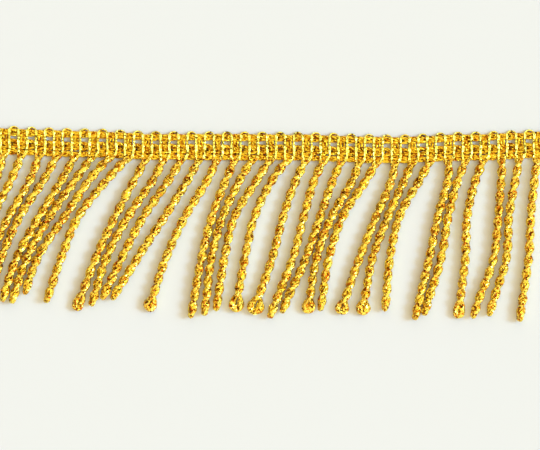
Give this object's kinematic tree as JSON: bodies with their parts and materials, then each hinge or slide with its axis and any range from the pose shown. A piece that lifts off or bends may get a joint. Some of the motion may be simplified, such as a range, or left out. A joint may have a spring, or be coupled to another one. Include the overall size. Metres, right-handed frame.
{
  "type": "fringe trim",
  "caption": "Cut length of metallic gold twisted fringe lying flat: a worked heading with a scalloped edge and a row of two-ply strands closed in small loops.",
  "frame": {"origin": "the middle of the heading's flat back", "axes": "+X along the heading, +Y from the strands' tips towards the heading's scalloped edge, +Z out of the surface that the trim lies on"},
  "size_m": [0.1631, 0.0533, 0.0021],
  "materials": {
    "heading_yarn": "metallised film yarn worked into chain rows, glittering gold",
    "strand_yarn": "metallised film yarn twisted in two plies, glittering gold"
  },
  "bodies": {
    "root": {"heading": "heading_yarn", "fringe": "strand_yarn"}
  },
  "joints": []
}
